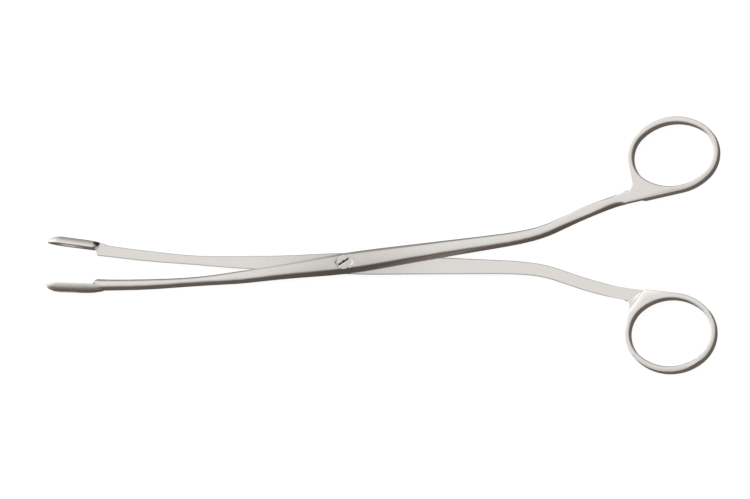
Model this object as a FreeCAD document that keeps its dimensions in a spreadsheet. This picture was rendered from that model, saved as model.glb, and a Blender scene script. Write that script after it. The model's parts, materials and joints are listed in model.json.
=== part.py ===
import FreeCAD, Part
import math
import os

import Sketcher
from FreeCAD import Placement, Rotation, Vector

# Gallstone forceps: two crossed halves on one slotted screw, in millimetres.
# +X runs from the screw to the finger rings along the closed arms, +Z along the screw to its slotted
# head. Both halves are drawn closed about the plane where they lap. The whole is then lifted to stand
# on the screw's end, and the front half is turned to the opening at rest.

sizes = {
    "closed_length": 230.0,
    "lap_clearance": 0.04,
    "rest_opening": 8.2,
    "joint_width": 7.15,
    "joint_depth": 2.8,
    "neck_run": 14.5,
    "neck_width": 5.75,
    "sweep_start": 29.0,
    "sweep_radius": 395.0,
    "sweep_turn": 8.18,
    "sweep_width": 4.6,
    "slim_width": 3.2,
    "slim_depth": 2.2,
    "jaw_root_width": 4.2,
    "jaw_root_depth": 2.35,
    "handle_splay": 0.8,
    "shoulder_share": 0.26,
    "shoulder_width": 6.75,
    "shoulder_depth": 2.7,
    "waist_share": 0.625,
    "waist_width": 5.5,
    "bend_angle": 18.2,
    "bend_radius": 52.0,
    "handle_width": 4.5,
    "handle_depth": 2.3,
    "slope_run": 5.4,
    "return_radius": 110.0,
    "return_angle": 9.0,
    "stem_width": 4.1,
    "stem_depth": 2.2,
    "stem_run": 5.6,
    "tongue_width": 3.7,
    "tongue_depth": 2.05,
    "web_inset": 0.1,
    "joint_crown": 14.0,
    "stem_crown": 30.0,
    "joint_lean": 27.0,
    "arm_lean": 20.0,
    "stem_lean": 6.0,
    "joint_corner": 0.7,
    "arm_corner": 0.8,
    "stem_corner": 0.5,
    "ring_depth": 4.3,
    "ring_length": 27.2,
    "front_ring_height": 21.4,
    "rear_ring_height": 22.8,
    "front_ring_neck": 2.9,
    "rear_ring_neck": 0.8,
    "ring_edge_rise": 9.05,
    "ring_end_wall": 1.7,
    "ring_outer_wall": 2.05,
    "ring_inner_wall": 1.95,
    "ring_edge_break": 0.3,
    "ring_round": 0.65,
    "crotch_radius": 2.2,
    "crotch_offset": 1.4,
    "crease_reach": 4.6,
    "crease_turn": 36.5,
    "crease_ramp": 1.1,
    "jaw_length": 16.3,
    "jaw_radius": 2.7,
    "jaw_heel_radius": 2.0,
    "jaw_heel": 3.4,
    "jaw_flare": 3.1,
    "jaw_toe": 1.2,
    "nose_length": 5.0,
    "tip_radius": 2.0,
    "cup_radius": 1.85,
    "cup_depth": 1.8,
    "cup_length": 11.0,
    "cup_start": 3.9,
    "slot_width": 1.7,
    "slot_length": 8.2,
    "slot_start": 5.2,
    "step_clearance": 0.35,
    "end_slant": 28.0,
    "screw_diameter": 3.2,
    "screw_clearance": 0.03,
    "head_diameter": 4.8,
    "head_depth": 1.3,
    "head_crown": 28.0,
    "driver_slot_width": 0.5,
    "driver_slot_depth": 0.7,
    "driver_slot_length": 4.2,
    "driver_slot_turn": 34.0,
}

startPoint, endPoint, centrePoint = range(1, 4)
originPoint = (-1, 1)
horizontalAxis, verticalAxis = range(-1, -3, -1)
farReach = 14.0


def makeSheet(doc):
    sheet = doc.addObject("Spreadsheet::Sheet", "dims")
    for row, (name, value) in enumerate(sizes.items(), start=1):
        sheet.set(f"A{row}", name)
        sheet.set(f"B{row}", str(value))
        sheet.setAlias(f"B{row}", name)
    doc.recompute()
    return sheet


def value(body, expression):
    return float(body.Document.getObject("dims").evalExpression(expression))


def addSketch(body, name, role, axis=Vector(0, 0, 1)):
    """A sketch on one origin plane of its body, which expressions then move, and turn about the axis."""
    sketch = body.newObject("Sketcher::SketchObject", name)
    plane = next(f for f in body.Origin.OriginFeatures if f.Role == role)
    sketch.AttachmentSupport = (plane, "")
    sketch.MapMode = "FlatFace"
    sketch.AttachmentOffset = Placement(Vector(0, 0, 0), Rotation(axis, 1))
    return sketch


def placeSketch(sketch, base, angle="0"):
    for axis, expression in zip("xyz", base):
        sketch.setExpression(f"AttachmentOffset.Base.{axis}", expression)
    sketch.setExpression("AttachmentOffset.Rotation.Angle", angle)


def constrain(sketch, kind, *where, by=None):
    """Adds one constraint. With by, an expression gives it its size."""
    if by is None:
        sketch.addConstraint(Sketcher.Constraint(kind, *where))
        return
    size = value(sketch, by)
    if kind == "Angle":
        size = math.radians(size)
    number = sketch.addConstraint(Sketcher.Constraint(kind, *where, size))
    sketch.setExpression(f"Constraints[{number}]", f"({by}) * 1 deg" if kind == "Angle" else by)


def drawPolygon(sketch, corners):
    """A closed polygon whose corners are pairs of expressions."""
    points = [Vector(value(sketch, x), value(sketch, y), 0) for x, y in corners]
    last = len(points) - 1
    for number, point in enumerate(points):
        sketch.addGeometry(Part.LineSegment(point, points[(number + 1) % len(points)]))
    for number, (x, y) in enumerate(corners):
        constrain(sketch, "Coincident", number - 1 if number else last, endPoint, number, startPoint)
        constrain(sketch, "DistanceX", *originPoint, number, startPoint, by=x)
        constrain(sketch, "DistanceY", *originPoint, number, startPoint, by=y)


def ovalRadii(halfLength, halfHeight):
    """The end and side radii of the four arcs that come nearest to an ellipse."""
    diagonal = f"(({halfLength})^2 + ({halfHeight})^2)"
    lead = f"(({halfLength}) - ({halfHeight})) * sqrt({diagonal})"
    endRadius = f"(({diagonal} - {lead}) / (2 * ({halfLength})))"
    sideRadius = f"(({diagonal} + {lead}) / (2 * ({halfHeight})))"
    return endRadius, sideRadius


def drawOval(sketch, halfLength, halfHeight, closed=True):
    """An oval of four arcs from its underside round to the left. Its two open ends are left to lines."""
    endRadius, sideRadius = ovalRadii(halfLength, halfHeight)
    small = value(sketch, endRadius)
    large = value(sketch, sideRadius)
    offset = value(sketch, halfLength) - small
    drop = large - value(sketch, halfHeight)
    turn = math.atan2(drop, offset)
    half = math.pi / 2
    up = Vector(0, 0, 1)
    middles = [Vector(0, drop, 0), Vector(offset, 0, 0), Vector(0, -drop, 0), Vector(-offset, 0, 0)]
    first = turn - math.pi if closed else -half
    last = math.pi + turn if closed else math.pi
    turns = [first, -turn, turn, math.pi - turn, last]
    for number, middle in enumerate(middles):
        circle = Part.Circle(middle, up, small if number % 2 else large)
        sketch.addGeometry(Part.ArcOfCircle(circle, turns[number], turns[number + 1]))
    under, right, over, left = range(4)
    constrain(sketch, "Tangent", right, endPoint, over, startPoint)
    constrain(sketch, "Tangent", over, endPoint, left, startPoint)
    constrain(sketch, "Symmetric", right, startPoint, right, endPoint, horizontalAxis)
    constrain(sketch, "Symmetric", over, startPoint, over, endPoint, verticalAxis)
    constrain(sketch, "Radius", right, by=endRadius)
    constrain(sketch, "Radius", over, by=sideRadius)
    constrain(sketch, "DistanceX", *originPoint, right, centrePoint, by=f"({halfLength}) - {endRadius}")
    constrain(sketch, "PointOnObject", right, centrePoint, horizontalAxis)
    constrain(sketch, "PointOnObject", over, centrePoint, verticalAxis)
    constrain(sketch, "PointOnObject", left, centrePoint, horizontalAxis)
    if closed:
        constrain(sketch, "Symmetric", left, startPoint, left, endPoint, horizontalAxis)
        constrain(sketch, "Coincident", left, endPoint, under, startPoint)
        constrain(sketch, "Coincident", under, endPoint, right, startPoint)
        constrain(sketch, "Equal", under, over)
    else:
        constrain(sketch, "Tangent", under, endPoint, right, startPoint)
        constrain(sketch, "PointOnObject", under, centrePoint, verticalAxis)
    return under, left


# The centreline of the arms

def sweepPoint(share):
    """A point of the arc that lifts the jaw end, with the share of its turn that lies behind it."""
    turn = f"({share} * dims.sweep_turn)"
    return {
        "x": f"(-dims.sweep_start - dims.sweep_radius * sin({turn}))",
        "y": f"(dims.sweep_radius * (1 - cos({turn})))",
        "heading": f"(-{turn})",
    }


def tipReach():
    sweep = "dims.sweep_start + dims.sweep_radius * sin(dims.sweep_turn)"
    return f"({sweep} + dims.jaw_length * cos(dims.sweep_turn))"


def ringRun():
    """From the start of the handle's first bend to the far end of the front ring."""
    bend = "dims.bend_radius * (sin(dims.bend_angle) - sin(dims.handle_splay))"
    slope = "dims.slope_run * cos(dims.bend_angle)"
    back = "dims.return_radius * (sin(dims.bend_angle) - sin(dims.return_angle))"
    return f"({bend} + {slope} + {back} + dims.front_ring_neck + dims.ring_length + 2 * dims.ring_end_wall)"


bendStart = f"(dims.closed_length - {tipReach()} - {ringRun()})"


def splayPoint(side, run):
    return {
        "x": f"({run})",
        "y": f"({side} * {run} * tan(dims.handle_splay))",
        "heading": f"({side} * dims.handle_splay)",
    }


def bendPoint(side, share):
    """A point of the bend that leads the handle away from its fellow."""
    turn = f"(dims.handle_splay + {share} * (dims.bend_angle - dims.handle_splay))"
    rise = f"{bendStart} * tan(dims.handle_splay) + dims.bend_radius * (cos(dims.handle_splay) - cos({turn}))"
    return {
        "x": f"({bendStart} + dims.bend_radius * (sin({turn}) - sin(dims.handle_splay)))",
        "y": f"({side} * ({rise}))",
        "heading": f"({side} * {turn})",
    }


def returnPoint(side, share):
    """A point of the bend that brings the handle back towards the closed line."""
    start = bendPoint(1, 1)
    turn = f"(dims.bend_angle - {share} * (dims.bend_angle - dims.return_angle))"
    run = f"dims.return_radius * (sin(dims.bend_angle) - sin({turn}))"
    rise = f"dims.return_radius * (cos({turn}) - cos(dims.bend_angle))"
    return {
        "x": f"({start['x']} + dims.slope_run * cos(dims.bend_angle) + {run})",
        "y": f"({side} * ({start['y']} + dims.slope_run * sin(dims.bend_angle) + {rise}))",
        "heading": f"({side} * {turn})",
    }


def stemPoint(side, run, across="0"):
    """A point of the straight stem before the ring, with its distance outward from the centreline."""
    start = returnPoint(1, 1)
    turn = "dims.return_angle"
    return {
        "x": f"({start['x']} + {run} * cos({turn}) - {across} * sin({turn}))",
        "y": f"({side} * ({start['y']} + {run} * sin({turn}) + {across} * cos({turn})))",
        "heading": f"({side} * {turn})",
    }


def mixed(first, second, share):
    return f"((1 - {share}) * dims.{first} + {share} * dims.{second})"


def armSections(side):
    """Each section: its place, then width, depth, crown radius, lean of the flanks and corner radius."""
    joint = ("dims.joint_crown", "dims.joint_lean", "dims.joint_corner")
    arm = ("dims.joint_crown", "dims.arm_lean", "dims.arm_corner")
    stem = ("dims.stem_crown", "dims.stem_lean", "dims.stem_corner")
    necking = ("dims.joint_crown", mixed("arm_lean", "joint_lean", 0.5), "dims.arm_corner")
    nearing = (mixed("joint_crown", "stem_crown", 0.3), mixed("arm_lean", "stem_lean", 0.4),
               mixed("arm_corner", "stem_corner", 0.5))
    return [
        (sweepPoint(1), "dims.jaw_root_width", "dims.jaw_root_depth", *arm),
        (sweepPoint(0.75), mixed("slim_width", "jaw_root_width", 0.4), "dims.slim_depth", *arm),
        (sweepPoint(0.5), "dims.slim_width", "dims.slim_depth", *arm),
        (sweepPoint(0.25), mixed("slim_width", "sweep_width", 0.3), "dims.slim_depth", *arm),
        (sweepPoint(0), "dims.sweep_width", mixed("slim_depth", "joint_depth", 0.3), *arm),
        (splayPoint(0, "-dims.neck_run"), "dims.neck_width",
         mixed("slim_depth", "joint_depth", 0.7), *necking),
        (splayPoint(0, "0"), "dims.joint_width", "dims.joint_depth", *joint),
        (splayPoint(side, f"dims.shoulder_share * {bendStart}"), "dims.shoulder_width",
         "dims.shoulder_depth", *joint),
        (splayPoint(side, f"dims.waist_share * {bendStart}"), "dims.waist_width",
         mixed("joint_depth", "handle_depth", 0.5), *necking),
        (bendPoint(side, 0), "dims.handle_width", "dims.handle_depth", *arm),
        (bendPoint(side, 0.5), mixed("handle_width", "stem_width", 0.6), "dims.handle_depth", *arm),
        (bendPoint(side, 1), "dims.stem_width", "dims.handle_depth", *arm),
        (returnPoint(side, 0), "dims.stem_width", "dims.handle_depth", *nearing),
        (returnPoint(side, 0.5), "dims.stem_width", mixed("handle_depth", "stem_depth", 0.5), *nearing),
        (returnPoint(side, 1), "dims.stem_width", "dims.stem_depth", *stem),
        (stemPoint(side, "dims.stem_run"), "dims.tongue_width", "dims.tongue_depth", *stem),
    ]


def addSection(body, name, side, place, width, depth, crown, lean, corner):
    """A crowned section: flat inner side, leaning flanks, rounded corners. It stands square to the arm."""
    sketch = addSketch(body, name, "YZ_Plane", Vector(0, 1, 0))
    placeSketch(sketch, (place["y"], "0", place["x"]), place["heading"])
    half = value(body, width) / 2
    crownRadius = value(body, crown)
    cornerRadius = value(body, corner)
    leanAngle = math.radians(value(body, lean))
    crownDrop = value(body, depth) - crownRadius
    along = Vector(-math.sin(leanAngle), math.cos(leanAngle), 0)
    inset = Vector(half, 0, 0) - Vector(math.cos(leanAngle), math.sin(leanAngle), 0) * cornerRadius
    toCrown = inset - Vector(0, crownDrop, 0)
    middle = toCrown.dot(along)
    rest = toCrown.dot(toCrown) - (crownRadius - cornerRadius) ** 2
    flank = -middle + math.sqrt(middle ** 2 - rest)
    cornerCentre = inset + along * flank
    crownAngle = math.atan2(cornerCentre.y - crownDrop, cornerCentre.x)

    turned = 0 if side > 0 else math.pi
    baseEnd = Vector(half * side, 0, 0)
    flankEnd = (Vector(half, 0, 0) + along * flank) * side

    def arc(centre, radius, first, last):
        circle = Part.Circle(centre * side, Vector(0, 0, 1), radius)
        return Part.ArcOfCircle(circle, first + turned, last + turned)

    mirrored = Vector(-flankEnd.x, flankEnd.y, 0)
    otherCorner = Vector(-cornerCentre.x, cornerCentre.y, 0)
    sketch.addGeometry([
        Part.LineSegment(-baseEnd, baseEnd),
        Part.LineSegment(baseEnd, flankEnd),
        arc(cornerCentre, cornerRadius, leanAngle, crownAngle),
        arc(Vector(0, crownDrop, 0), crownRadius, crownAngle, math.pi - crownAngle),
        arc(otherCorner, cornerRadius, math.pi - crownAngle, math.pi - leanAngle),
        Part.LineSegment(mirrored, -baseEnd),
    ])
    constrain(sketch, "Coincident", 0, endPoint, 1, startPoint)
    constrain(sketch, "Coincident", 5, endPoint, 0, startPoint)
    for number in range(1, 5):
        constrain(sketch, "Tangent", number, endPoint, number + 1, startPoint)
    constrain(sketch, "Horizontal", 0)
    constrain(sketch, "Symmetric", 0, startPoint, 0, endPoint, *originPoint)
    constrain(sketch, "Distance", 0, by=width)
    constrain(sketch, "Equal", 2, 4)
    constrain(sketch, "Radius", 2, by=corner)
    constrain(sketch, "Radius", 3, by=crown)
    constrain(sketch, "PointOnObject", 3, centrePoint, verticalAxis)
    constrain(sketch, "Distance", *originPoint, 3, centrePoint, by=f"{crown} - {depth}")
    constrain(sketch, "Equal", 1, 5)
    constrain(sketch, "Angle", 1, startPoint, 0, endPoint, by=f"90 - {lean}")
    return sketch


def addArm(body, side):
    """The arm in one sweep, then the tongue that runs out into the ring's web."""
    sections = []
    for number, section in enumerate(armSections(side), start=1):
        sections.append(addSection(body, f"{body.Name}_section{number}", side, *section))
    body.Document.recompute()
    for name, run in (("arm", sections[:-1]), ("tongue", sections[-2:])):
        loft = body.newObject("PartDesign::AdditiveLoft", f"{body.Name}_{name}")
        loft.Profile = run[0]
        loft.Sections = run[1:]
        loft.Ruled = False
    return loft


# Finger ring

def ringPlace(side):
    height = "dims.front_ring_height" if side > 0 else "dims.rear_ring_height"
    neck = "dims.front_ring_neck" if side > 0 else "dims.rear_ring_neck"
    halfLength = "(dims.ring_length / 2 + dims.ring_end_wall)"
    halfHeight = f"(({height} + dims.ring_outer_wall + dims.ring_inner_wall) / 2)"
    return {
        "height": height,
        "halfLength": halfLength,
        "halfHeight": halfHeight,
        "x": f"({returnPoint(1, 1)['x']} + {neck} + {halfLength})",
        "rise": f"(dims.ring_edge_rise + {halfHeight})",
    }


def addRing(body, side):
    """A flat oval eye. Its web runs back along the arm and turns into the eye by a small crotch."""
    ring = ringPlace(side)
    inner = stemPoint(1, "0", "(dims.web_inset - dims.stem_width / 2)")
    outer = stemPoint(1, "0", "(dims.stem_width / 2 - dims.web_inset)")
    innerX, innerY = f"({inner['x']} - {ring['x']})", f"({inner['y']} - {ring['rise']})"
    outerX, outerY = f"({outer['x']} - {ring['x']})", f"({outer['y']} - {ring['rise']})"

    sketch = addSketch(body, f"{body.Name}_eye_outline", "XY_Plane", Vector(1, 0, 0))
    placeSketch(sketch, (ring["x"], f"{side} * {ring['rise']}", "0"), "0" if side > 0 else "180")
    under, left = drawOval(sketch, ring["halfLength"], ring["halfHeight"], closed=False)
    firstCorner = Vector(value(body, innerX), value(body, innerY), 0)
    lastCorner = Vector(value(body, outerX), value(body, outerY), 0)
    eyeStart = sketch.getPoint(under, startPoint)
    eyeEnd = sketch.getPoint(left, endPoint)
    radius = value(body, "dims.crotch_radius")
    crotchX = f"-({ring['halfLength']} + dims.crotch_offset)"
    centreX = value(body, crotchX)
    stemTurn = math.radians(value(body, "dims.return_angle"))
    stemRise = (centreX - lastCorner.x) * math.tan(stemTurn) + radius / math.cos(stemTurn)
    crotchCentre = Vector(centreX, lastCorner.y + stemRise, 0)
    crotchCircle = Part.Circle(crotchCentre, Vector(0, 0, 1), radius)
    crotch = Part.ArcOfCircle(crotchCircle, stemTurn - math.pi / 2, stemTurn / 2)
    web = sketch.addGeometry(Part.LineSegment(firstCorner, eyeStart))
    close = sketch.addGeometry(Part.LineSegment(lastCorner, firstCorner))
    stem = sketch.addGeometry(Part.LineSegment(lastCorner, crotch.StartPoint))
    bend = sketch.addGeometry(crotch)
    rise = sketch.addGeometry(Part.LineSegment(crotch.EndPoint, eyeEnd))
    constrain(sketch, "Coincident", web, startPoint, close, endPoint)
    constrain(sketch, "Coincident", close, startPoint, stem, startPoint)
    constrain(sketch, "DistanceX", *originPoint, web, startPoint, by=innerX)
    constrain(sketch, "DistanceY", *originPoint, web, startPoint, by=innerY)
    constrain(sketch, "DistanceX", *originPoint, stem, startPoint, by=outerX)
    constrain(sketch, "DistanceY", *originPoint, stem, startPoint, by=outerY)
    constrain(sketch, "Perpendicular", close, stem)
    constrain(sketch, "Tangent", web, endPoint, under, startPoint)
    constrain(sketch, "Tangent", stem, endPoint, bend, startPoint)
    constrain(sketch, "Radius", bend, by="dims.crotch_radius")
    constrain(sketch, "DistanceX", *originPoint, bend, centrePoint, by=crotchX)
    constrain(sketch, "Tangent", bend, endPoint, rise, startPoint)
    constrain(sketch, "Tangent", rise, endPoint, left, endPoint)

    slab = body.newObject("PartDesign::Pad", f"{body.Name}_eye")
    slab.Profile = sketch
    slab.Midplane = True
    slab.setExpression("Length", "dims.ring_depth")
    return slab


# Jaw

def jawTurn(side):
    """Both jaws lean in, so that they meet at their tips first."""
    return f"(dims.sweep_turn + {side} * dims.jaw_toe)"


def jawPoint(side, along, across="0"):
    """A point by its distance along the grip line from the jaw's root, and outward from the front jaw."""
    root = sweepPoint(1)
    turn = jawTurn(side)
    return {
        "x": f"({root['x']} - {along} * cos({turn}) - {across} * sin({turn}))",
        "y": f"({root['y']} + {along} * sin({turn}) - {across} * cos({turn}))",
    }


def placeOnJaw(sketch, side):
    """Puts a flat sketch on the grip line: its first axis runs from the root to the tip."""
    root = jawPoint(side, "0")
    placeSketch(sketch, (root["x"], root["y"], "0"), f"180 - {jawTurn(side)}")


def addJaw(body, side):
    """Half of a long cone with bowed sides and a round tip, split along the grip line. It grows out of
    the arm by a flared heel."""
    sketch = addSketch(body, f"{body.Name}_jaw_outline", "XY_Plane")
    placeOnJaw(sketch, side)
    noseStart = "(dims.jaw_length - dims.nose_length)"
    radius = value(body, "dims.jaw_radius")
    tipRadius = value(body, "dims.tip_radius")
    heel = Vector(-value(body, "dims.jaw_heel"), 0, 0)
    heelTop = Vector(heel.x, value(body, "dims.jaw_heel_radius") * side, 0)
    flareEnd = Vector(value(body, "dims.jaw_flare"), radius * side, 0)
    noseTop = Vector(value(body, noseStart), radius * side, 0)
    tip = Vector(value(body, "dims.jaw_length"), 0, 0)
    flareRun = flareEnd.x - heel.x
    flareRise = radius - abs(heelTop.y)
    flareRadius = (flareRun ** 2 + flareRise ** 2) / (2 * flareRise)
    flareTurn = math.asin(flareRun / flareRadius)
    noseRun = tip.x - tipRadius - noseTop.x
    noseRadius = (noseRun ** 2 + radius ** 2 - tipRadius ** 2) / (2 * (radius - tipRadius))
    noseTurn = math.asin(noseRun / (noseRadius - tipRadius))

    def arc(x, y, size, first, last):
        if side < 0:
            first, last = -last, -first
        return Part.ArcOfCircle(Part.Circle(Vector(x, y * side, 0), Vector(0, 0, 1), size), first, last)

    half = math.pi / 2
    sketch.addGeometry([
        Part.LineSegment(tip, heel),
        Part.LineSegment(heel, heelTop),
        arc(flareEnd.x, radius - flareRadius, flareRadius, half, half + flareTurn),
        Part.LineSegment(flareEnd, noseTop),
        arc(noseTop.x, radius - noseRadius, noseRadius, half - noseTurn, half),
        arc(tip.x - tipRadius, 0, tipRadius, 0, half - noseTurn),
    ])
    later, earlier = (endPoint, startPoint) if side > 0 else (startPoint, endPoint)
    constrain(sketch, "PointOnObject", 0, startPoint, horizontalAxis)
    constrain(sketch, "PointOnObject", 0, endPoint, horizontalAxis)
    constrain(sketch, "Coincident", 0, endPoint, 1, startPoint)
    constrain(sketch, "Coincident", 1, endPoint, 2, later)
    constrain(sketch, "Tangent", 2, earlier, 3, startPoint)
    constrain(sketch, "Tangent", 3, endPoint, 4, later)
    constrain(sketch, "Tangent", 4, earlier, 5, later)
    constrain(sketch, "Coincident", 5, earlier, 0, startPoint)
    constrain(sketch, "Vertical", 1)
    constrain(sketch, "Horizontal", 3)
    constrain(sketch, "PointOnObject", 5, centrePoint, horizontalAxis)
    constrain(sketch, "Radius", 5, by="dims.tip_radius")
    constrain(sketch, "DistanceX", *originPoint, 0, startPoint, by="dims.jaw_length")
    constrain(sketch, "DistanceX", *originPoint, 0, endPoint, by="-dims.jaw_heel")
    constrain(sketch, "Distance", 1, by="dims.jaw_heel_radius")
    constrain(sketch, "DistanceX", *originPoint, 3, startPoint, by="dims.jaw_flare")
    constrain(sketch, "DistanceX", *originPoint, 3, endPoint, by=noseStart)
    level = f"{side} * dims.jaw_radius"
    constrain(sketch, "DistanceY", *originPoint, 3, startPoint, by=level)

    jaw = body.newObject("PartDesign::Revolution", f"{body.Name}_jaw")
    jaw.Profile = sketch
    jaw.ReferenceAxis = (sketch, ["H_Axis"])
    jaw.Midplane = True
    jaw.Angle = 180
    return jaw


def cutBothWays(body, name, sketch):
    """Cuts past every wall, to both sides of the sketch."""
    cut = body.newObject("PartDesign::Pocket", f"{body.Name}_{name}")
    cut.Profile = sketch
    cut.Midplane = True
    cut.Length = 4 * farReach
    return cut


def addRingOpening(body, side):
    """The opening stands a little off the eye's middle, because its two long walls differ."""
    ring = ringPlace(side)
    rise = f"({ring['rise']} + (dims.ring_inner_wall - dims.ring_outer_wall) / 2)"
    sketch = addSketch(body, f"{body.Name}_opening_outline", "XY_Plane")
    placeSketch(sketch, (ring["x"], f"{side} * {rise}", "0"))
    drawOval(sketch, "dims.ring_length / 2", f"{ring['height']} / 2")
    return cutBothWays(body, "opening", sketch)


def eyeRims(body, base, chosen):
    """Those edges of both flat faces of the eye that are chosen."""
    body.Document.recompute()
    face = value(body, "dims.ring_depth") / 2
    rims = []
    for number, edge in enumerate(base.Shape.Edges, start=1):
        box = edge.BoundBox
        if box.ZLength < 1e-6 and abs(abs(box.ZMax) - face) < 1e-6 and chosen(edge):
            rims.append(f"Edge{number}")
    return rims


def breakOutside(body, slab):
    """The short edge where the eye meets the arm stays sharp."""
    meeting = value(body, stemPoint(1, "0")["x"])
    breaking = body.newObject("PartDesign::Chamfer", f"{body.Name}_outer_rims")
    breaking.Base = (slab, eyeRims(body, slab, lambda edge: abs(edge.CenterOfMass.x - meeting) > 0.1))
    breaking.setExpression("Size", "dims.ring_edge_break")
    return breaking


def roundInside(body, opening, side):
    ring = ringPlace(side)
    middle = value(body, ring["x"])
    reach = value(body, "(dims.ring_length + dims.ring_end_wall) / 2")
    lowest = value(body, "dims.ring_edge_rise + dims.ring_inner_wall / 2")
    highest = value(body, f"{ring['rise']} + {ring['halfHeight']} - dims.ring_outer_wall / 2")

    def onOpening(edge):
        box = edge.BoundBox
        low, high = sorted((abs(box.YMin), abs(box.YMax)))
        return box.XMin > middle - reach and box.XMax < middle + reach and low > lowest and high < highest

    rounding = body.newObject("PartDesign::Fillet", f"{body.Name}_inner_rims")
    rounding.Base = (opening, eyeRims(body, opening, onOpening))
    rounding.setExpression("Radius", "dims.ring_round")
    return rounding


def addEndRelief(body, side):
    """Slants the end of the shank, where the other jaw closes past it."""
    sketch = addSketch(body, f"{body.Name}_relief_outline", "XY_Plane")
    placeOnJaw(sketch, side)
    beyond = f"-{side} * dims.jaw_root_width"
    drawPolygon(sketch, [
        ("0", "0"),
        ("-tan(dims.end_slant) * dims.jaw_root_width", beyond),
        ("dims.step_clearance", beyond),
        ("dims.step_clearance", "0"),
    ])
    return cutBothWays(body, "relief", sketch)


def addLapCut(body, side):
    """Halves the forging: the flat inner side runs from the step at the jaw to the crease at the ring.
    The step stands clear of the slanted end of the other half's shank, and lies along it."""
    crease = stemPoint(side, "dims.crease_reach")
    slant = f"{side * farReach} * tan(dims.end_slant)"
    low = jawPoint(side, f"(dims.step_clearance - {slant})", f"{farReach}")
    high = jawPoint(side, f"(dims.step_clearance + {slant})", f"-{farReach}")
    towardAxis = (f"{crease['x']} + 2 * {farReach} * sin(dims.crease_turn)",
                  f"{crease['y']} - {side} * 2 * {farReach} * cos(dims.crease_turn)")
    awayFromAxis = (f"{crease['x']} - {farReach} * sin(dims.crease_turn)",
                    f"{crease['y']} + {side} * {farReach} * cos(dims.crease_turn)")
    creaseEnds = [towardAxis, awayFromAxis] if side > 0 else [awayFromAxis, towardAxis]
    sketch = addSketch(body, f"{body.Name}_lap_outline", "XY_Plane")
    placeSketch(sketch, ("0", "0", f"{side} * dims.lap_clearance / 2"))
    drawPolygon(sketch, [(low["x"], low["y"]), *creaseEnds, (high["x"], high["y"])])
    lap = body.newObject("PartDesign::Pocket", f"{body.Name}_lap")
    lap.Profile = sketch
    lap.Length = farReach
    lap.Reversed = side < 0
    return lap


def addCreaseRamp(body, side):
    """The short slope between the flat inner side and the back of the ring."""
    crease = stemPoint(side, "dims.crease_reach")
    sketch = addSketch(body, f"{body.Name}_ramp_outline", "XZ_Plane", Vector(0, 1, 0))
    placeSketch(sketch, (crease["x"], f"{side} * dims.lap_clearance / 2", f"-{crease['y']}"),
                f"{side} * dims.crease_turn")
    below = f"-{side} * dims.ring_depth"
    before = "-dims.crease_ramp"
    drawPolygon(sketch, [("0", "0"), ("2 * dims.crease_ramp", below), (before, below), (before, "0")])
    ramp = body.newObject("PartDesign::Pocket", f"{body.Name}_ramp")
    ramp.Profile = sketch
    ramp.Midplane = True
    ramp.Length = 2 * farReach
    return ramp


def addCup(body, side):
    """Hollows the jaw to hold a stone, as a round cutter does that turns across the grip line."""
    reach = "((dims.cup_length^2 / 4 + dims.cup_depth^2) / (2 * dims.cup_depth))"
    middle = "(dims.cup_start + dims.cup_length / 2)"
    spindle = jawPoint(side, middle, f"({-side} * ({reach} - dims.cup_depth))")
    centre = f"{-side} * ({reach} - dims.cup_radius)"
    sketch = addSketch(body, f"{body.Name}_cup_outline", "YZ_Plane", Vector(0, 1, 0))
    placeSketch(sketch, (spindle["y"], "0", spindle["x"]), f"-{jawTurn(side)}")
    radius = value(body, "dims.cup_radius")
    sketch.addGeometry(Part.Circle(Vector(value(body, centre), 0, 0), Vector(0, 0, 1), radius))
    constrain(sketch, "Radius", 0, by="dims.cup_radius")
    constrain(sketch, "PointOnObject", 0, centrePoint, horizontalAxis)
    constrain(sketch, "DistanceX", *originPoint, 0, centrePoint, by=centre)
    body.Document.recompute()
    cup = body.newObject("PartDesign::Groove", f"{body.Name}_cup")
    cup.Profile = sketch
    cup.ReferenceAxis = (sketch, ["V_Axis"])
    cup.Midplane = True
    cup.Angle = 120
    return cup


def drawSlot(sketch, start, length, width):
    """A slot with round ends along the sketch's first axis."""
    radius = value(sketch, width) / 2
    first = value(sketch, start) + radius
    last = value(sketch, start) + value(sketch, length) - radius
    up = Vector(0, 0, 1)
    half = math.pi / 2
    sketch.addGeometry([
        Part.ArcOfCircle(Part.Circle(Vector(first, 0, 0), up, radius), half, 3 * half),
        Part.LineSegment(Vector(first, -radius, 0), Vector(last, -radius, 0)),
        Part.ArcOfCircle(Part.Circle(Vector(last, 0, 0), up, radius), -half, half),
        Part.LineSegment(Vector(last, radius, 0), Vector(first, radius, 0)),
    ])
    constrain(sketch, "Tangent", 0, endPoint, 1, startPoint)
    constrain(sketch, "Tangent", 1, endPoint, 2, startPoint)
    constrain(sketch, "Tangent", 2, endPoint, 3, startPoint)
    constrain(sketch, "Tangent", 3, endPoint, 0, startPoint)
    constrain(sketch, "Equal", 0, 2)
    constrain(sketch, "PointOnObject", 0, centrePoint, horizontalAxis)
    constrain(sketch, "PointOnObject", 2, centrePoint, horizontalAxis)
    constrain(sketch, "Radius", 0, by=f"{width} / 2")
    constrain(sketch, "DistanceX", *originPoint, 0, centrePoint, by=f"{start} + {width} / 2")
    constrain(sketch, "DistanceX", *originPoint, 2, centrePoint, by=f"{start} + {length} - {width} / 2")


def addWindow(body, side):
    """The long window through the jaw's wall."""
    root = jawPoint(side, "0")
    sketch = addSketch(body, f"{body.Name}_window_outline", "XZ_Plane", Vector(0, 1, 0))
    placeSketch(sketch, (root["x"], "0", f"-{root['y']}"), f"180 - {jawTurn(side)}")
    drawSlot(sketch, "dims.slot_start", "dims.slot_length", "dims.slot_width")
    window = body.newObject("PartDesign::Pocket", f"{body.Name}_window")
    window.Profile = sketch
    window.Midplane = True
    window.Length = farReach
    return window


# Joint

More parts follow.
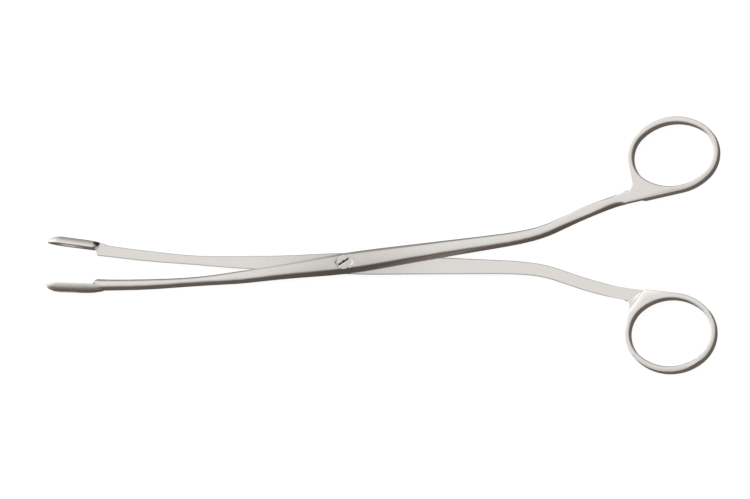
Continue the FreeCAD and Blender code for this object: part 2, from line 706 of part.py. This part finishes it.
def addCircle(body, name, diameter, height="0"):
    sketch = addSketch(body, f"{body.Name}_{name}_outline", "XY_Plane")
    placeSketch(sketch, ("0", "0", height))
    sketch.addGeometry(Part.Circle(Vector(0, 0, 0), Vector(0, 0, 1), value(body, diameter) / 2))
    constrain(sketch, "Coincident", 0, centrePoint, *originPoint)
    constrain(sketch, "Diameter", 0, by=diameter)
    return sketch


def addTurningSeat(body):
    """The front half turns on the shank, and the head lies in its counterbore."""
    cutBothWays(body, "bore", addCircle(body, "bore", "dims.screw_diameter + 2 * dims.screw_clearance"))
    across = "dims.head_diameter + 2 * dims.screw_clearance"
    seat = addCircle(body, "seat", across, "dims.joint_depth - dims.head_depth")
    counterbore = body.newObject("PartDesign::Pocket", f"{body.Name}_counterbore")
    counterbore.Profile = seat
    counterbore.Reversed = True
    counterbore.setExpression("Length", "2 * dims.head_depth")
    return counterbore


def addHalf(doc, name, side):
    body = doc.addObject("PartDesign::Body", name)
    body.Label = name
    breakOutside(body, addRing(body, side))
    roundInside(body, addRingOpening(body, side), side)
    addArm(body, side)
    addJaw(body, side)
    addEndRelief(body, side)
    addLapCut(body, side)
    addCreaseRamp(body, side)
    addCup(body, side)
    addWindow(body, side)
    if side > 0:
        addTurningSeat(body)
    else:
        cutBothWays(body, "bore", addCircle(body, "bore", "dims.screw_diameter"))
    return body


def addScrew(doc):
    """The screw is fast in the rear half. Its domed head lies flush in the front half."""
    body = doc.addObject("PartDesign::Body", "joint_screw")
    body.Label = "joint_screw"
    sketch = addSketch(body, "joint_screw_profile", "XZ_Plane")
    placeSketch(sketch, ("0", "0", "0"))
    shank = value(body, "dims.screw_diameter / 2")
    head = value(body, "dims.head_diameter / 2")
    top = value(body, "dims.joint_depth")
    under = value(body, "dims.joint_depth - dims.head_depth")
    crown = value(body, "dims.head_crown")
    edge = top - crown + math.sqrt(crown ** 2 - head ** 2)
    corners = [Vector(0, -top, 0), Vector(shank, -top, 0), Vector(shank, under, 0), Vector(head, under, 0),
               Vector(head, edge, 0)]
    for first, last in zip(corners, corners[1:]):
        sketch.addGeometry(Part.LineSegment(first, last))
    dome = Part.Circle(Vector(0, top - crown, 0), Vector(0, 0, 1), crown)
    sketch.addGeometry(Part.ArcOfCircle(dome, math.acos(head / crown), math.pi / 2))
    sketch.addGeometry(Part.LineSegment(Vector(0, top, 0), corners[0]))
    for number in range(3):
        constrain(sketch, "Coincident", number, endPoint, number + 1, startPoint)
    constrain(sketch, "Coincident", 3, endPoint, 4, startPoint)
    constrain(sketch, "Coincident", 4, endPoint, 5, startPoint)
    constrain(sketch, "Coincident", 5, endPoint, 0, startPoint)
    constrain(sketch, "Horizontal", 0)
    constrain(sketch, "Horizontal", 2)
    for upright in (1, 3, 5):
        constrain(sketch, "Vertical", upright)
    constrain(sketch, "PointOnObject", 0, startPoint, verticalAxis)
    constrain(sketch, "PointOnObject", 4, centrePoint, verticalAxis)
    constrain(sketch, "DistanceX", *originPoint, 0, endPoint, by="dims.screw_diameter / 2")
    constrain(sketch, "DistanceY", 0, startPoint, *originPoint, by="dims.joint_depth")
    constrain(sketch, "DistanceX", *originPoint, 2, endPoint, by="dims.head_diameter / 2")
    constrain(sketch, "DistanceY", *originPoint, 2, endPoint, by="dims.joint_depth - dims.head_depth")
    constrain(sketch, "DistanceY", *originPoint, 4, endPoint, by="dims.joint_depth")
    constrain(sketch, "Radius", 4, by="dims.head_crown")
    screw = body.newObject("PartDesign::Revolution", "joint_screw_turned")
    screw.Profile = sketch
    screw.ReferenceAxis = (sketch, ["V_Axis"])
    screw.Angle = 360

    slotOutline = addSketch(body, "joint_screw_slot_outline", "XY_Plane")
    placeSketch(slotOutline, ("0", "0", "dims.joint_depth - dims.driver_slot_depth"), "dims.driver_slot_turn")
    slotStart = "(-dims.driver_slot_length / 2)"
    drawSlot(slotOutline, slotStart, "dims.driver_slot_length", "dims.driver_slot_width")
    slot = body.newObject("PartDesign::Pocket", "joint_screw_slot")
    slot.Profile = slotOutline
    slot.Reversed = True
    slot.setExpression("Length", "2 * dims.driver_slot_depth")
    return body


def placeBody(body, turn=None):
    body.Placement = Placement(Vector(0, 0, 0), Rotation(Vector(0, 0, 1), 1 if turn else 0))
    body.setExpression("Placement.Base.z", "dims.joint_depth")
    if turn:
        body.setExpression("Placement.Rotation.Angle", turn)


def checkDocument(doc, bodies):
    for item in doc.Objects:
        broken = {"Invalid", "Error"} & set(item.State)
        if broken:
            raise RuntimeError(f"{item.Name} is {', '.join(sorted(broken))}")
    for body in bodies:
        shape = body.Shape
        if shape.isNull() or not shape.isValid() or len(shape.Solids) != 1:
            raise RuntimeError(f"{body.Label} is not one valid solid")


def main():
    doc = FreeCAD.newDocument("gallstone_forceps")
    makeSheet(doc)
    bodies = [addHalf(doc, "front_half", 1), addHalf(doc, "rear_half", -1), addScrew(doc)]
    placeBody(bodies[0], "dims.rest_opening")
    placeBody(bodies[1])
    placeBody(bodies[2])
    doc.recompute()
    checkDocument(doc, bodies)
    os.makedirs("parts", exist_ok=True)
    for body in bodies:
        body.Shape.exportStep(f"parts/{body.Label}.step")
        print(body.Label, round(body.Shape.Volume, 2), body.Shape.BoundBox)


main()
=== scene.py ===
import json
import math

import bmesh
import bpy
from mathutils import Matrix, Vector


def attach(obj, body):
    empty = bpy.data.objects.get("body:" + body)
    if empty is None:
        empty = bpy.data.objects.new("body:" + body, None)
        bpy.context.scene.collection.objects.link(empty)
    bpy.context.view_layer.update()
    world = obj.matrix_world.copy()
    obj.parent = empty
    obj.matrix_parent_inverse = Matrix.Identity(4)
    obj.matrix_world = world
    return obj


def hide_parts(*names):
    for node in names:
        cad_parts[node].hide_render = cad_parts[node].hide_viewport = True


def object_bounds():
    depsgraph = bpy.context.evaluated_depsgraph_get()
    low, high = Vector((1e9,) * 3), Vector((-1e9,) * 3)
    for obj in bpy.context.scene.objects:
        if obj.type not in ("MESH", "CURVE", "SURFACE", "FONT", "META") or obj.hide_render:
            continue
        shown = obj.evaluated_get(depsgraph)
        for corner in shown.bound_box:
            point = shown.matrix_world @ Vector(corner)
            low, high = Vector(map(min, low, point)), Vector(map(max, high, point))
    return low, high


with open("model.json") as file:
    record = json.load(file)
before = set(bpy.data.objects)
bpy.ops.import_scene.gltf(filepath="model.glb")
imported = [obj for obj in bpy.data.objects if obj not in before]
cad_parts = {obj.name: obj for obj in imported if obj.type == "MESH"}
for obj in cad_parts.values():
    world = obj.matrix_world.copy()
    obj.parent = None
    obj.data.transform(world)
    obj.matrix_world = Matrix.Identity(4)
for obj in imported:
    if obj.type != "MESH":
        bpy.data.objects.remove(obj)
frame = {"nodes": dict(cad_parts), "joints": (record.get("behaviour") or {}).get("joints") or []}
cadLow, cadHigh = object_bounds()
print("frame loaded")

pivot = Vector(frame["joints"][0]["pos_m"])  # on the joint screw's axis, between the two halves


# A node's input takes another node's output or a fixed value.
def feed(tree, source, socket):
    if isinstance(source, bpy.types.NodeSocket):
        tree.links.new(source, socket)
    else:
        socket.default_value = source


def addMath(tree, operation, *sources):
    node = tree.nodes.new("ShaderNodeMath")
    node.operation = operation
    for source, socket in zip(sources, node.inputs):
        feed(tree, source, socket)
    return node.outputs["Value"]


def addVector(tree, operation, first, second=None):
    node = tree.nodes.new("ShaderNodeVectorMath")
    node.operation = operation
    feed(tree, first, node.inputs[0])
    if second is not None:
        feed(tree, second, node.inputs["Scale"] if operation == "SCALE" else node.inputs[1])
    return node.outputs["Value" if operation in ("LENGTH", "DOT_PRODUCT") else "Vector"]


def addNoise(tree, place, scale, detail, roughness):
    noise = tree.nodes.new("ShaderNodeTexNoise")
    labels = ("Vector", "Scale", "Detail", "Roughness")
    for source, label in zip((place, scale, detail, roughness), labels):
        feed(tree, source, noise.inputs[label])
    return noise.outputs["Fac"]


# From low to high, the result goes from first to last.
def addRamp(tree, value, low, high, first, last, smooth=True):
    ramp = tree.nodes.new("ShaderNodeMapRange")
    ramp.interpolation_type = "SMOOTHSTEP" if smooth else "LINEAR"
    labels = ("Value", "From Min", "From Max", "To Min", "To Max")
    for source, label in zip((value, low, high, first, last), labels):
        feed(tree, source, ramp.inputs[label])
    return ramp.outputs["Result"]


# kind is FLOAT for numbers and RGBA for colours.
def addMix(tree, kind, factor, first, last):
    mix = tree.nodes.new("ShaderNodeMix")
    mix.data_type = kind
    for source, label in zip((factor, first, last), ("Factor", "A", "B")):
        feed(tree, source, mix.inputs[label])
    return mix.outputs["Result"]


# How far a point is from an upright axis.
def addAxisDistance(tree, place, axis):
    offset = addVector(tree, "SUBTRACT", place, (axis[0], axis[1], 0))
    return addVector(tree, "LENGTH", addVector(tree, "MULTIPLY", offset, (1, 1, 0)))


def toned(color, share=1.0):
    return (*[channel * share for channel in color], 1)


# Fine lines left by the finishing belt, and the soft cloud of hand work. Turn says which way the lines
# run, in radians, and Pitch how fine they are.
beltLook = {
    "stretch": 0.035,
    "lineDetail": 3.0,
    "lineRoughness": 0.6,
    "cloudScale": 160.0,
    "cloudDetail": 3.0,
    "cloudRoughness": 0.5,
}


def makeBeltGroup():
    group = bpy.data.node_groups.new("BeltLines", "ShaderNodeTree")
    group.interface.new_socket(name="Vector", in_out="INPUT", socket_type="NodeSocketVector")
    for label in ("Turn", "Pitch"):
        group.interface.new_socket(name=label, in_out="INPUT", socket_type="NodeSocketFloat")
    for label in ("Lines", "Cloud"):
        group.interface.new_socket(name=label, in_out="OUTPUT", socket_type="NodeSocketFloat")
    source = group.nodes.new("NodeGroupInput")
    result = group.nodes.new("NodeGroupOutput")

    turned = group.nodes.new("ShaderNodeVectorRotate")
    turned.rotation_type = "Z_AXIS"
    feed(group, source.outputs["Vector"], turned.inputs["Vector"])
    feed(group, source.outputs["Turn"], turned.inputs["Angle"])
    drawnOut = addVector(group, "MULTIPLY", turned.outputs["Vector"], (beltLook["stretch"], 1, 1))
    fine = addVector(group, "SCALE", drawnOut, source.outputs["Pitch"])
    lines = addNoise(group, fine, 1.0, beltLook["lineDetail"], beltLook["lineRoughness"])
    cloud = addNoise(group, source.outputs["Vector"], beltLook["cloudScale"], beltLook["cloudDetail"],
                     beltLook["cloudRoughness"])
    feed(group, lines, result.inputs["Lines"])
    feed(group, cloud, result.inputs["Cloud"])
    return group


beltGroup = makeBeltGroup()

satinSteel = {
    "color": (0.755, 0.727, 0.700),
    "colorSpread": 0.025,
    "roughness": 0.26,
    "roughnessSpread": 0.06,
    "linePitch": 5200.0,
    "lineTurn": 1.2,
    "lineDepth": 0.000005,
    "worn": (0.004, 0.036),  # from the screw out to here, the joint is duller than the arms
    "wornShare": 0.65,
    "wornTone": 0.75,
    "edge": 0.00016,
    "armEdge": 0.0006,
    "armEnd": (0.086, 0.094),  # here, before the rings, the arms' softer edges end
    "seat": (0.0027, 0.0034),  # nearer the screw than this the edges are sharp
    "edgeSamples": 8,
}


# addShadeMask gives the share of painted shade at each point.
def makeSteel(name, look, addShadeMask=None, paintedShade=None):
    material = bpy.data.materials.new(name)
    material.use_nodes = True
    tree = material.node_tree
    shader = tree.nodes["Principled BSDF"]
    place = tree.nodes.new("ShaderNodeTexCoord").outputs["Object"]
    belt = tree.nodes.new("ShaderNodeGroup")
    belt.node_tree = beltGroup
    feed(tree, place, belt.inputs["Vector"])
    feed(tree, look["lineTurn"], belt.inputs["Turn"])
    feed(tree, look["linePitch"], belt.inputs["Pitch"])
    lines = belt.outputs["Lines"]
    away = addAxisDistance(tree, place, pivot)

    average = addMath(tree, "MULTIPLY", addMath(tree, "ADD", lines, belt.outputs["Cloud"]), 0.5)
    color = addMix(tree, "RGBA", average, toned(look["color"], 1 - look["colorSpread"]),
                   toned(look["color"], 1 + look["colorSpread"]))
    worn = addRamp(tree, away, *look["worn"], look["wornShare"], 0)
    color = addMix(tree, "RGBA", worn, color, toned(look["color"], look["wornTone"]))
    metal = 1.0
    # Painted shade: where the mask says, a dark non-metal colour stands in for shadow in a recess.
    if addShadeMask:
        shadeMask = addShadeMask(tree, place, paintedShade)
        color = addMix(tree, "RGBA", shadeMask, color, toned(paintedShade["color"]))
        metal = addMath(tree, "SUBTRACT", 1.0, shadeMask)
    feed(tree, color, shader.inputs["Base Color"])
    feed(tree, metal, shader.inputs["Metallic"])
    roughness = addRamp(tree, lines, 0, 1, look["roughness"] - look["roughnessSpread"],
                        look["roughness"] + look["roughnessSpread"], smooth=False)
    feed(tree, roughness, shader.inputs["Roughness"])

    softEdge = tree.nodes.new("ShaderNodeBevel")  # the polisher takes the sharpness off every edge
    softEdge.samples = look["edgeSamples"]
    split = tree.nodes.new("ShaderNodeSeparateXYZ")
    feed(tree, place, split.inputs["Vector"])
    radius = addRamp(tree, split.outputs["X"], *look["armEnd"], look["armEdge"], look["edge"])
    seated = addRamp(tree, away, *look["seat"], 0, 1)
    feed(tree, addMath(tree, "MULTIPLY", radius, seated), softEdge.inputs["Radius"])
    bump = tree.nodes.new("ShaderNodeBump")
    feed(tree, 1.0, bump.inputs["Strength"])
    feed(tree, look["lineDepth"], bump.inputs["Distance"])
    feed(tree, lines, bump.inputs["Height"])
    feed(tree, softEdge.outputs["Normal"], bump.inputs["Normal"])
    feed(tree, bump.outputs["Normal"], shader.inputs["Normal"])
    return material


# Painted shade darkens the screwdriver slot, between its floor and the domed head, standing in for the
# shadow in that recess.
slotShade = {"top": 0.00547, "depth": 0.0002, "floor": 0.0045, "color": (0.012, 0.011, 0.010)}


def addSlotShadeMask(tree, place, paintedShade):
    split = tree.nodes.new("ShaderNodeSeparateXYZ")
    feed(tree, place, split.inputs["Vector"])
    height = split.outputs["Z"]
    under = addRamp(tree, height, paintedShade["top"] - paintedShade["depth"], paintedShade["top"], 1, 0)
    return addMath(tree, "MULTIPLY", under, addMath(tree, "GREATER_THAN", height, paintedShade["floor"]))


# Painted shade also darkens the corner where the rear shank ends against the jaw's step, standing in for the
# shadow in that notch.
notchShade = {"axis": (-0.0847, 0.0060), "full": 0.0007, "clean": 0.0012, "color": (0.03, 0.028, 0.025)}


def addNotchShadeMask(tree, place, paintedShade):
    return addRamp(tree, addAxisDistance(tree, place, paintedShade["axis"]), paintedShade["full"], paintedShade["clean"], 1, 0)


frontSteel = makeSteel("FrontSteel", satinSteel)
rearSteel = makeSteel("RearSteel", satinSteel, addNotchShadeMask, notchShade)
screwSteel = makeSteel("ScrewSteel", satinSteel, addSlotShadeMask, slotShade)
print("materials made")

dressing = {"mergeDistance": 0.000001, "sharpAngle": 24.0, "flatWeight": 100}


# A copy of a CAD piece with its seams merged and its rounds smoothly shaded.
def dress(node, body, material):
    mesh = frame["nodes"][node].data.copy()
    piece = bpy.data.objects.new(f"{node}_finished", mesh)
    bpy.context.scene.collection.objects.link(piece)
    merge = bmesh.new()
    merge.from_mesh(mesh)
    bmesh.ops.remove_doubles(merge, verts=merge.verts, dist=dressing["mergeDistance"])
    merge.to_mesh(mesh)
    merge.free()
    mesh.shade_smooth()
    mesh.set_sharp_from_angle(angle=math.radians(dressing["sharpAngle"]))
    mesh.materials.clear()
    mesh.materials.append(material)
    flats = piece.modifiers.new("FlatFaces", "WEIGHTED_NORMAL")  # keeps flats flat up to the rounds
    flats.mode = "FACE_AREA"
    flats.weight = dressing["flatWeight"]
    flats.keep_sharp = True
    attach(piece, body)
    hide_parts(node)


dress("front_half", "front_arm", frontSteel)
dress("rear_half", "rear_arm", rearSteel)
dress("joint_screw", "rear_arm", screwSteel)
print("pieces dressed")

floorLook = {
    "drop": 0.00005,
    "reach": 1.2,
    "color": (0.30, 0.30, 0.30),
    "roughness": 0.9,
    "glow": 0.88,  # lifts the floor to white for the camera alone
}


def addFloor():
    low = cadLow.z - floorLook["drop"]
    reach = floorLook["reach"]
    corners = [(-reach, -reach, low), (reach, -reach, low), (reach, reach, low), (-reach, reach, low)]
    mesh = bpy.data.meshes.new("Floor")
    mesh.from_pydata(corners, [], [(0, 1, 2, 3)])
    floor = bpy.data.objects.new("Floor", mesh)
    bpy.context.scene.collection.objects.link(floor)
    material = bpy.data.materials.new("PaleFloor")
    material.use_nodes = True
    tree = material.node_tree
    shader = tree.nodes["Principled BSDF"]
    shader.inputs["Base Color"].default_value = toned(floorLook["color"])
    shader.inputs["Roughness"].default_value = floorLook["roughness"]
    shader.inputs["Specular IOR Level"].default_value = 0.0
    shader.inputs["Emission Color"].default_value = (1, 1, 1, 1)
    seen = tree.nodes.new("ShaderNodeLightPath").outputs["Is Camera Ray"]
    feed(tree, addMath(tree, "MULTIPLY", seen, floorLook["glow"]), shader.inputs["Emission Strength"])
    mesh.materials.append(material)
    floor.visible_glossy = False  # the steel shows the studio round it, as in the photograph


addFloor()

# A broad soft lamp above, a pale room that darkens to the lower right, a window low on the left, and
# little light from below. What is dark is a warm brown.
studio = {
    "lamp": (-0.20, 0.40, 0.89),
    "lampEdge": 0.8,
    "lampLevel": 0.15,
    "roomBright": 0.85,
    "roomDark": 0.20,
    "horizon": (-0.15, 0.10),
    "far": (-0.6, 0.8, 0.0),
    "underFar": 0.42,
    "underNear": 0.10,
    "straightDown": (-0.90, -0.60),
    "underfoot": 0.16,
    "window": (-0.95, 0.30, -0.05),
    "windowEdge": 0.4,
    "windowLevel": 1.0,
    "shade": (1.0, 0.86, 0.76),
    "shadeEnds": 0.7,
}


# 1 towards the direction, -1 away from it.
def aim(tree, place, direction):
    return addVector(tree, "DOT_PRODUCT", place, Vector(direction).normalized())


def lightStudio():
    world = bpy.data.worlds.new("Studio")
    bpy.context.scene.world = world
    world.use_nodes = True
    tree = world.node_tree
    background = tree.nodes["Background"]
    place = tree.nodes.new("ShaderNodeTexCoord").outputs["Generated"]
    rise = aim(tree, place, (0, 0, 1))
    overhead = aim(tree, place, studio["lamp"])
    room = addRamp(tree, overhead, 0, 1, studio["roomDark"], studio["roomBright"], smooth=False)
    lamp = addRamp(tree, overhead, studio["lampEdge"], 1, 0, studio["lampLevel"])
    above = addMath(tree, "ADD", room, lamp)
    low = addRamp(tree, aim(tree, place, studio["far"]), -1, 1, studio["underNear"], studio["underFar"])
    sideways = addRamp(tree, rise, *studio["straightDown"], 0, 1)
    below = addMix(tree, "FLOAT", sideways, studio["underfoot"], low)
    height = addRamp(tree, rise, *studio["horizon"], 0, 1)
    leftward = aim(tree, place, studio["window"])
    window = addRamp(tree, leftward, studio["windowEdge"], 1, 0, studio["windowLevel"])
    light = addMath(tree, "ADD", addMix(tree, "FLOAT", height, below, above), window)
    seen = tree.nodes.new("ShaderNodeLightPath").outputs["Is Camera Ray"]
    feed(tree, addMix(tree, "FLOAT", seen, light, 1.0), background.inputs["Strength"])
    paleness = addRamp(tree, light, studio["underNear"], studio["shadeEnds"], 0, 1)
    white = addMath(tree, "MAXIMUM", paleness, seen)
    feed(tree, addMix(tree, "RGBA", white, toned(studio["shade"]), (1, 1, 1, 1)), background.inputs["Color"])


lightStudio()

# The camera leans to the lower right and has a very long lens, so that it hardly foreshortens.
viewpoint = {
    "imageSize": (750, 499),
    "pixelSize": 0.000331,
    "pivotPixel": (345.2, 263.55),
    "tilt": 17.0,
    "tiltToward": -45.0,
    "roll": -1.85,
    "lens": 1050.0,
    "filmWidth": 36.0,
    "clipStart": 0.1,
    "clipReach": 4.0,
}


def addCamera():
    toward = math.radians(viewpoint["tiltToward"])
    hinge = Vector((-math.sin(toward), math.cos(toward), 0))
    tilt = Matrix.Rotation(math.radians(viewpoint["tilt"]), 3, hinge)
    turned = Matrix.Rotation(-math.radians(viewpoint["roll"]), 3, "Z") @ tilt
    right, up, back = turned.transposed()
    size = viewpoint["pixelSize"]
    width, height = viewpoint["imageSize"]
    column, row = viewpoint["pivotPixel"]
    target = pivot + right * (width / 2 - column) * size + up * (row - height / 2) * size
    distance = width * size * viewpoint["lens"] / viewpoint["filmWidth"]
    data = bpy.data.cameras.new("Camera")
    data.lens = viewpoint["lens"]
    data.sensor_width = viewpoint["filmWidth"]
    data.clip_start = viewpoint["clipStart"]
    data.clip_end = distance * viewpoint["clipReach"]
    camera = bpy.data.objects.new("Camera", data)
    bpy.context.scene.collection.objects.link(camera)
    camera.matrix_world = Matrix.Translation(target + back * distance) @ turned.to_4x4()
    bpy.context.scene.camera = camera


addCamera()
bpy.context.scene.view_settings.view_transform = "Standard"
print("studio ready")
